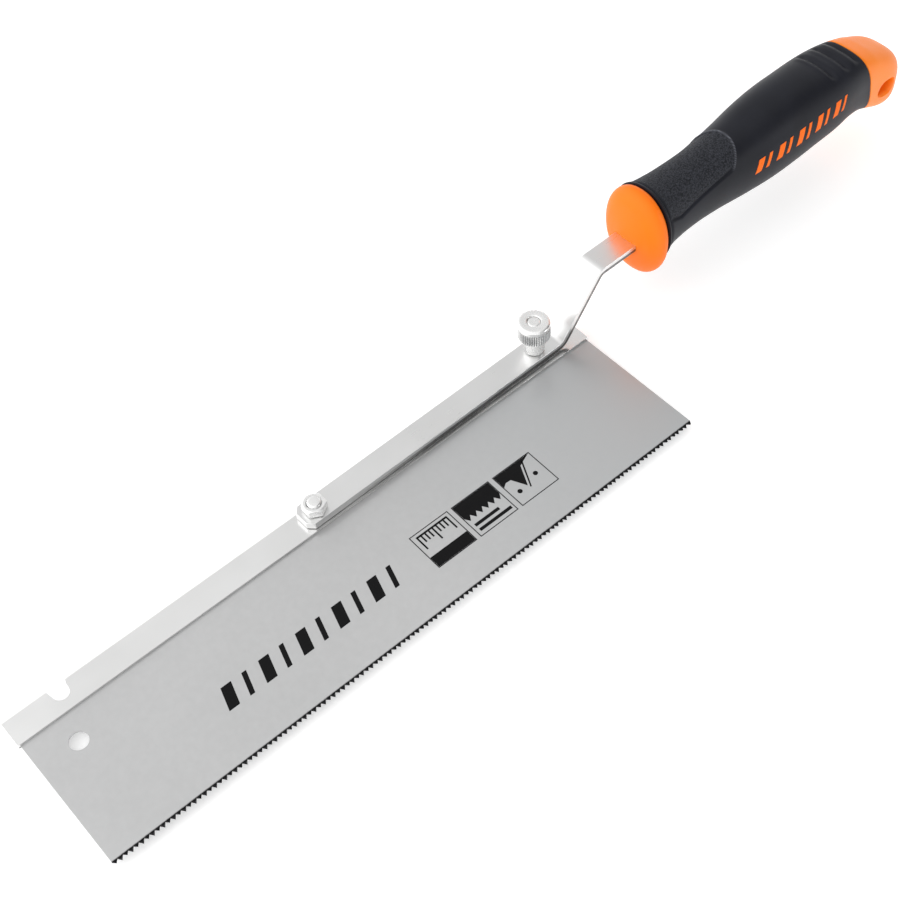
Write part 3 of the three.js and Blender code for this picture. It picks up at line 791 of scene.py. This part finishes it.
def strap_mesh():
    """The strap as cross sections along its centre line, with rounded long edges and a clipped nose.

    The third result is 1 at the vertices on the lower half of the punched side faces, fading out towards the
    nose; it marks a duller sheared edge and painted shade.
    """
    half, corner, steps = STRAP_WIDTH / 2, 0.22, 4
    tang = TANG_END_U - UPPER_BEND_U - BEND_REACH
    ends = np.cumsum([0, FLAT_LENGTH, BEND_ARC, RAMP_LENGTH, BEND_ARC, tang])
    stations = [s for a, b, count in zip(ends, ends[1:], (13, 12, 4, 12, 9))
                for s in np.linspace(a, b, count + 1)[1:]]
    turns = np.linspace(0, math.pi / 2, steps + 1)
    lower = [(corner * (1 - math.sin(a)), corner * (1 - math.cos(a)) - STRAP_THICKNESS / 2) for a in turns]
    lower += [(0, -0.15)]
    profile = lower + [(inset, -height) for inset, height in reversed(lower)]
    torn_and_shaded_levels = range(2, len(lower))

    def station(index, inset):
        grow = inset * (math.sqrt(2) - 1)
        if index == 0:
            return inset - STRAP_NOSE, half - STRAP_NOSE_CHAMFER - grow
        if index == 1:
            return STRAP_NOSE_CHAMFER - STRAP_NOSE + grow, half - inset
        return stations[index - 2], half - inset

    rows = len(stations) + 2
    points = []
    for index in range(rows):
        for sign, ordered in ((1, profile), (-1, profile[::-1])):
            for inset, height in ordered:
                s, width = station(index, inset)
                u, z, slope = along_strap(s)
                points.append((u - height * math.sin(slope), sign * width, z + height * math.cos(slope)))
    levels = len(profile)
    columns = 2 * levels
    faces = grid_faces(rows, columns)
    faces += [(k, k + 1, columns - 2 - k, columns - 1 - k) for k in range(levels - 1)]
    last = (rows - 1) * columns
    faces.append(tuple(range(last, last + columns)))
    torn_and_shaded = []
    for index in range(rows):
        # The dark edge, partly painted shade, fades out towards the nose.
        fading = float(smoothstep(station(index, 0)[0], 5, 60))
        torn_and_shaded += [fading if min(k, columns - 1 - k) in torn_and_shaded_levels else 0.0 for k in range(columns)]
    return in_strap_frame(points), faces, torn_and_shaded


def strap_piece():
    points, faces, torn_and_shaded = strap_mesh()
    strap = make("strap_cranked", points, faces, STRAP, "handle_unit", "plated_strap", "offset_strap",
                 sharp=32)
    # Marks the lower side faces for a dark colour: a duller sheared edge and painted shade.
    paint(strap.data, "torn_and_shaded", torn_and_shaded)
    strap.modifiers.new("flat faces stay flat", "WEIGHTED_NORMAL").keep_sharp = True
    baked(strap)


strap_piece()


# ---- handle ------------------------------------------------------------------------------------------

def hermite(table, u):
    """A smooth curve through the table's rows, read at u."""
    x = table[:, 0]
    slopes = np.gradient(table[:, 1:], x, axis=0)
    u = np.clip(u, x[0], x[-1])
    i = np.clip(np.searchsorted(x, u, side="right") - 1, 0, len(x) - 2)
    h = (x[i + 1] - x[i])[:, None]
    t = ((u - x[i])[:, None]) / h
    return ((1 + 2 * t) * (1 - t) ** 2 * table[i, 1:] + t * (1 - t) ** 2 * h * slopes[i]
            + t * t * (3 - 2 * t) * table[i + 1, 1:] + t * t * (t - 1) * h * slopes[i + 1])


def section(u):
    """Half width, half height, centre above the tang and squareness of the handle at each U."""
    u = np.atleast_1d(np.asarray(u, float))
    half_width, crown, keel = hermite(HANDLE_STATIONS, np.minimum(u, CAP_START_U)).T
    t = np.clip((u - CAP_START_U) / (HANDLE_END_U - CAP_START_U), 0, 0.99999)
    taper = np.sqrt(1 - t ** 3.8)
    half_width = half_width * taper
    half_height = (crown + keel) / 2 * taper
    centre = (crown - keel) / 2 - 7.0 * (1 - (1 - t) ** 1.5)
    squareness = 2.1 + 0.9 * smoothstep(u, 240, CAP_START_U)
    return half_width, half_height, centre, squareness


def collar_section(u):
    """The same four values for the collar, which does not change along U."""
    one = np.ones_like(np.atleast_1d(np.asarray(u, float)))
    return (COLLAR_HALF_WIDTH * one, COLLAR_HALF_HEIGHT * one, COLLAR_CENTRE * one,
            COLLAR_SQUARENESS * one)


def on_section(u, turn, share, shape):
    """Points (U, V, Z) at polar angle turn from the crown, at a share of the section's radius."""
    half_width, half_height, centre, squareness = shape(u)
    side, rise = np.sin(turn), np.cos(turn)
    reach = (np.abs(side / half_width) ** squareness + np.abs(rise / half_height) ** squareness)
    radius = share / np.maximum(reach, 1e-12) ** (1 / squareness)
    return np.stack([u, -radius * side, TANG_Z + centre + radius * rise], -1)


def leaned(u, height):
    """The seam between grip and cap leans forward at the top, and the sections near it follow."""
    near = 1 - smoothstep(np.abs(u - CAP_SPLIT_U), 0, SPLIT_BLEND)
    return u + SPLIT_SLOPE * near * height


def swept(profile, shape, segments, lean=False, relief=None):
    """Rings of (share, U) swept round the sections, with each point's angle from the crown in degrees.

    relief(U, angle, points) gives the height that a full ring's points gain.
    """
    turn = np.arange(segments) * 2 * math.pi / segments
    rows, angles = [], []
    for share, u in profile:
        at = np.full(segments, float(u))
        points = on_section(at, turn, share, shape)
        if lean:
            at = leaned(at, points[:, 2] - TANG_Z)
            points = on_section(at, turn, share, shape)
        half_width, half_height, centre, squareness = shape(at)
        flat_v = np.abs(points[:, 1]) / (half_width * max(share, 1e-6))
        flat_z = (points[:, 2] - TANG_Z - centre) / (half_height * max(share, 1e-6))
        eccentric = np.degrees(np.arctan2(np.clip(flat_v, 0, 1) ** (squareness / 2),
                                          np.sign(flat_z) * np.abs(flat_z) ** (squareness / 2)))
        if relief is not None and share > 0.99:
            out = np.stack([np.zeros(segments), -np.sin(turn), np.cos(turn)], -1)
            points = points + out * relief(at, eccentric, points)[:, None]
        rows.append(points)
        angles.append(eccentric)
    return np.array(rows), np.array(angles)


PAD_FRONT_U, PAD_REAR_U = 163.2, 203.3
BELLY_PATCH_U, BELLY_PATCH_HALF = 214, 14
FINGER_GROOVES = (260.0, 268.0, 274.4)


def pad_distance(u, angle):
    """Millimetres inside the thumb pad's side, rear and front edges; negative outside."""
    edge = np.minimum(73 - (u - 168.5) * 0.62, 64 + (u - 162.5) * 1.5)
    side = (edge - angle) * math.radians(1) * 14
    rear = PAD_REAR_U - 0.0018 * angle ** 2 - u
    return side, rear, u - PAD_FRONT_U


def belly_distance(u, angle):
    """Millimetres inside the grained patch under the grip; negative outside."""
    return np.minimum((angle - 128) * 0.24, BELLY_PATCH_HALF - np.abs(u - BELLY_PATCH_U))


def rear_ridge(side, rear, width):
    """1 on the raised line behind the thumb pad."""
    return bump_curve(rear + 0.35, width) * smoothstep(side, -1.2, 0.4)


def grip_relief(u, angle, points):
    """Height of the rubber over the plain sweep: sunken pad, front bead, finger grooves, belly patch."""
    side, rear, front = pad_distance(u, angle)
    inside = np.minimum(np.minimum(side, rear), front)
    height = -0.22 * smoothstep(inside, -0.2, 0.6)
    height -= 0.7 * bump_curve(side, 0.8) * smoothstep(np.minimum(rear, front), -0.6, 0.6)
    height += 0.34 * rear_ridge(side, rear, 0.5)
    height += 0.28 * smoothstep(-(u - 162.0), -0.2, 0.5)
    height -= 0.6 * bump_curve(u - 162.5, 0.7)
    base = u + 0.22 * (points[:, 2] - 30.8)
    for groove in FINGER_GROOVES:
        short = 1.0 if groove > 270 else 0.0
        fade = 1 - smoothstep(angle, 24 - 4 * short, 40 - 4 * short)
        height -= (0.95 - 0.25 * short) * bump_curve(base - groove, 1.9 - 0.4 * short) * fade
        height += 0.26 * bump_curve(base - groove + 2.6, 1.6) * (1 - smoothstep(angle, 24, 40))
    height -= 0.12 * smoothstep(belly_distance(u, angle), -0.2, 0.3)
    return height


def pad_mask(u, angle):
    """1 on the grained areas."""
    side, rear, front = pad_distance(u, angle)
    pad = smoothstep(np.minimum(np.minimum(side - 0.4, rear), front), -0.1, 0.5)
    return np.maximum(pad, smoothstep(belly_distance(u, angle), -0.1, 0.4))


def grip_piece():
    """The rubber overmould: a thick sleeve with rolled ends."""
    end = CAP_SPLIT_U - 0.3
    inner = 0.805
    outside = [(1.0, u) for u in np.arange(GRIP_FRONT_U + 0.35, end - 0.3, 0.45)]
    profile = [(inner, GRIP_FRONT_U), (0.95, GRIP_FRONT_U), (0.985, GRIP_FRONT_U + 0.1), *outside,
               (1.0, end - 0.25), (0.992, end - 0.06), (0.975, end), (inner, end)]
    profile += [(inner, u) for u in np.linspace(end, GRIP_FRONT_U, 12)[1:-1]]
    segments = 208
    rows, angles = swept(profile, section, segments, lean=True, relief=grip_relief)
    mesh = mesh_of("grip_overmould", in_strap_frame(rows.reshape(-1, 3)),
                   grid_faces(len(profile), segments, wrap_rows=True))
    outer = np.repeat([share > 0.99 for share, _ in profile], segments)
    u, angle = rows[..., 0].ravel(), angles.ravel()
    side, rear, _ = pad_distance(u, angle)
    paint(mesh, "pad", pad_mask(u, angle) * outer)
    # Marks the raised line behind the thumb pad for a painted highlight.
    paint(mesh, "ridge_highlight", rear_ridge(side, rear, 0.32) * outer)
    face_outward(mesh)
    place("grip_overmould", mesh, RUBBER, "handle_unit", "grip_sleeve", 50)


grip_piece()


def collar_piece():
    """Guard with a nearly flat face inside a broad rounded band that starts at a crease."""
    profile = [(COLLAR_FACE_SHARE * t, COLLAR_FRONT_U + COLLAR_FACE_DROP * t * t)
               for t in np.linspace(0.03, 1, 14)]
    band = COLLAR_RIM_U - COLLAR_FRONT_U - COLLAR_FACE_DROP
    crease = math.radians(38)
    for a in np.linspace(crease, math.pi / 2, 18)[1:]:
        out = (math.sin(a) - math.sin(crease)) / (1 - math.sin(crease))
        profile.append((COLLAR_FACE_SHARE + (1 - COLLAR_FACE_SHARE) * out,
                        COLLAR_RIM_U - band * math.cos(a) / math.cos(crease)))
    profile += [(1.0, COLLAR_RIM_U + 0.5), (0.995, COLLAR_RIM_U + 1.0), (0.98, COLLAR_RIM_U + 1.6),
                (0.955, COLLAR_RIM_U + 2.1), (0.92, COLLAR_RIM_U + 2.4),
                (0.88, COLLAR_BACK_U), (0.02, COLLAR_BACK_U)]
    segments = 128
    rows, _ = swept(profile, collar_section, segments)
    make("collar_dome", in_strap_frame(rows.reshape(-1, 3)), tube_faces(len(profile), segments),
         ORANGE, "handle_unit", "collar_plastic", "front_collar", sharp=40)


collar_piece()


def slot_tool():
    """The hang slot's cutter: a round-ended slot through the cap that flares at both mouths."""
    length, width, u, z = 9.6, 6.2, 288.1, TANG_Z - 0.5
    tilt = math.radians(-6)
    steps = 40
    loop = []
    for i in range(steps):
        a = 2 * math.pi * i / steps
        reach = length / 2 - width / 2
        loop.append((math.copysign(reach, math.cos(a)) * (abs(math.cos(a)) > 1e-9), a))
    heights = [(-16, 2.2), (-12.6, 1.2), (-11.9, 0.55), (-11.3, 0.2), (-10.6, 0.03), (-9.5, 0), (0, -0.1)]
    heights += [(-v, grow) for v, grow in reversed(heights[:-1])]
    points = []
    for v, grow in heights:
        for shift, a in loop:
            x = shift + (width / 2 + grow) * math.cos(a)
            y = (width / 2 + grow) * math.sin(a)
            points.append((u + x * math.cos(tilt) - y * math.sin(tilt), v,
                           z + x * math.sin(tilt) + y * math.cos(tilt)))
    mesh = mesh_of("slot tool", in_strap_frame(points), tube_faces(len(heights), steps))
    face_outward(mesh)
    tool = bpy.data.objects.new("slot tool", mesh)
    bpy.context.scene.collection.objects.link(tool)
    return tool


def cap_piece():
    """The butt: a tapering rounded end with the hang slot cut through it."""
    rows_count = 44
    front = CAP_SPLIT_U + 0.25
    outside = [(1.0, front + (HANDLE_END_U - front) * math.sin(t * math.pi / 2))
               for t in np.linspace(0, 1, rows_count)[:-1]]
    profile = [(0.02, CAP_SPLIT_U), (0.9, CAP_SPLIT_U), (0.975, CAP_SPLIT_U), (0.992, CAP_SPLIT_U + 0.08),
               *outside, (0.5, HANDLE_END_U), (0.02, HANDLE_END_U)]
    segments = 144
    rows, _ = swept(profile, section, segments, lean=True)
    cap = make("butt_cap", in_strap_frame(rows.reshape(-1, 3)), tube_faces(len(profile), segments),
               ORANGE_CAP_PAINTED_LIGHTER, "handle_unit", "cap_plastic", "rear_cap", sharp=50)
    tool = slot_tool()
    cut = cap.modifiers.new("hang slot", "BOOLEAN")
    cut.operation, cut.solver, cut.object = "DIFFERENCE", "EXACT", tool
    baked(cap)
    for polygon in cap.data.polygons:
        polygon.use_smooth = True
    cap.data.set_sharp_from_angle(angle=math.radians(50))
    bpy.data.objects.remove(tool)


cap_piece()


def inlay_piece():
    """A row of slanted bars in orange along the grip's side, a hair proud of the rubber."""
    points, faces = [], []
    across, down = 5, 9
    lean, height, lift, sunk = 2.4, 20.0, 0.08, 0.06
    starts = [207.5 + i * 5.25 for i in range(10)]
    for k, start in enumerate(starts):
        width = 3.0 if k % 2 == 0 else 1.5
        first = len(points)
        for raised in (-sunk, lift):
            for j in range(down):
                share = j / (down - 1)
                for i in range(across):
                    u = start + width * i / (across - 1) + lean * (1 - share)
                    turn = np.radians(np.array([64 + 21 * share]))
                    at = np.array([u])
                    out = np.array([0, -math.sin(turn[0]), math.cos(turn[0])])
                    points.append(on_section(at, turn, 1.0, section)[0] + raised * out)
        layer = across * down

        def index(layer_number, j, i, base=first, size=layer):
            return base + layer_number * size + j * across + i

        for j in range(down - 1):
            for i in range(across - 1):
                corners = ((j, i), (j, i + 1), (j + 1, i + 1), (j + 1, i))
                for n in (0, 1):
                    faces.append(tuple(index(n, *corner) for corner in corners))
        rim = [(0, i) for i in range(across)] + [(j, across - 1) for j in range(1, down)]
        rim += [(down - 1, i) for i in range(across - 2, -1, -1)] + [(j, 0) for j in range(down - 2, 0, -1)]
        for (j0, i0), (j1, i1) in zip(rim, rim[1:] + rim[:1]):
            faces.append((index(0, j0, i0), index(0, j1, i1), index(1, j1, i1), index(1, j0, i0)))
    make("grip_bar_inlay", in_strap_frame(points), faces, INLAY, "handle_unit", "collar_plastic", sharp=40)


inlay_piece()

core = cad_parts["handle_core"]
core.data.materials.clear()
core.data.materials.append(ORANGE)


# ---- stage, light and camera -------------------------------------------------------------------------

def stage_floor():
    """A plain pale floor just below the object."""
    size, drop = 6.0, 0.0004
    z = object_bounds()[0].z - drop
    mesh = bpy.data.meshes.new("floor")
    mesh.from_pydata([(-size, -size, z), (size, -size, z), (size, size, z), (-size, size, z)],
                     [], [(0, 1, 2, 3)])
    floor = bpy.data.objects.new("floor", mesh)
    bpy.context.scene.collection.objects.link(floor)
    look = Look("floor pale matt", (0.93, 0.93, 0.93), 0.9, Specular_IOR_Level=0.1)
    look.color(look.mix(look.noise(3, 2), (0.925, 0.925, 0.925, 1), (0.94, 0.94, 0.94, 1)))
    look.shader.inputs["Emission Color"].default_value = (1, 1, 1, 1)
    look.shader.inputs["Emission Strength"].default_value = 0.3
    mesh.materials.append(look.material)


def studio_light():
    """A white surround that dims towards some directions, so that bright metal has something to show."""
    world = bpy.data.worlds.new("studio")
    bpy.context.scene.world = world
    world.use_nodes = True
    tree = world.node_tree
    nodes, links = tree.nodes, tree.links
    background = nodes["Background"]
    where = nodes.new("ShaderNodeTexCoord").outputs["Generated"]

    def lobe(direction, low, high, inside, outside):
        """Goes from outside to inside as the cosine to a direction goes from low to high."""
        dot = nodes.new("ShaderNodeVectorMath")
        dot.operation = "DOT_PRODUCT"
        links.new(where, dot.inputs[0])
        dot.inputs[1].default_value = Vector(direction).normalized()
        span = nodes.new("ShaderNodeMapRange")
        span.interpolation_type = "SMOOTHSTEP"
        links.new(dot.outputs["Value"], span.inputs["Value"])
        for key, value in (("From Min", low), ("From Max", high), ("To Min", outside), ("To Max", inside)):
            span.inputs[key].default_value = value
        return span.outputs["Result"]

    side = lobe((0.6, -0.75, 0.35), 0.66, 0.88, 0.06, 1.1)
    along = lobe((1, 0, 0), -0.1, 0.6, 0.84, 1.04)
    window = lobe((-0.86, 0.485, 0.15), 0.3, 0.95, 1.75, 1.0)
    far = lobe((0.37, 0.49, 0.79), 0.75, 0.97, 0.8, 1.0)

    def times(a, b):
        node = nodes.new("ShaderNodeMath")
        node.operation = "MULTIPLY"
        links.new(a, node.inputs[0])
        links.new(b, node.inputs[1])
        return node.outputs[0]

    path = nodes.new("ShaderNodeLightPath")
    mix = nodes.new("ShaderNodeMix")
    links.new(path.outputs["Is Camera Ray"], mix.inputs[0])
    links.new(times(times(side, along), times(window, far)), mix.inputs[2])
    mix.inputs[3].default_value = 1.0
    links.new(mix.outputs[0], background.inputs["Color"])
    background.inputs["Strength"].default_value = 1.0

    light = bpy.data.lights.new("side panel", "AREA")
    light.shape, light.size, light.energy = "SQUARE", 0.35, 2.5
    lamp = bpy.data.objects.new("side panel", light)
    lamp.location = (0.79, -1.08, 0.365)
    aim = Vector((0.1, 0.0, 0.0)) - lamp.location
    lamp.rotation_mode = "QUATERNION"
    lamp.rotation_quaternion = aim.to_track_quat("-Z", "Y")
    bpy.context.scene.collection.objects.link(lamp)


def camera():
    """The view of the object: above the toe, looking along the blade to the handle."""
    data = bpy.data.cameras.new("camera")
    data.sensor_width, data.lens = 36.0, 63.9
    data.clip_start, data.clip_end = 0.01, 50.0
    lens = bpy.data.objects.new("camera", data)
    right = Vector((0.7536, -0.6555, -0.0509)).normalized()
    forward = Vector((0.3685, 0.4852, -0.7930)).normalized()
    up = right.cross(forward)
    right = forward.cross(up)
    turn = Matrix((right, up, -forward)).transposed().to_4x4()
    lens.matrix_world = Matrix.Translation(Vector((-0.15812, -0.25537, 0.4554))) @ turn
    bpy.context.scene.collection.objects.link(lens)
    bpy.context.scene.camera = lens


stage_floor()
studio_light()
camera()
bpy.context.scene.view_settings.view_transform = "Standard"
bpy.context.scene.view_settings.look = "None"
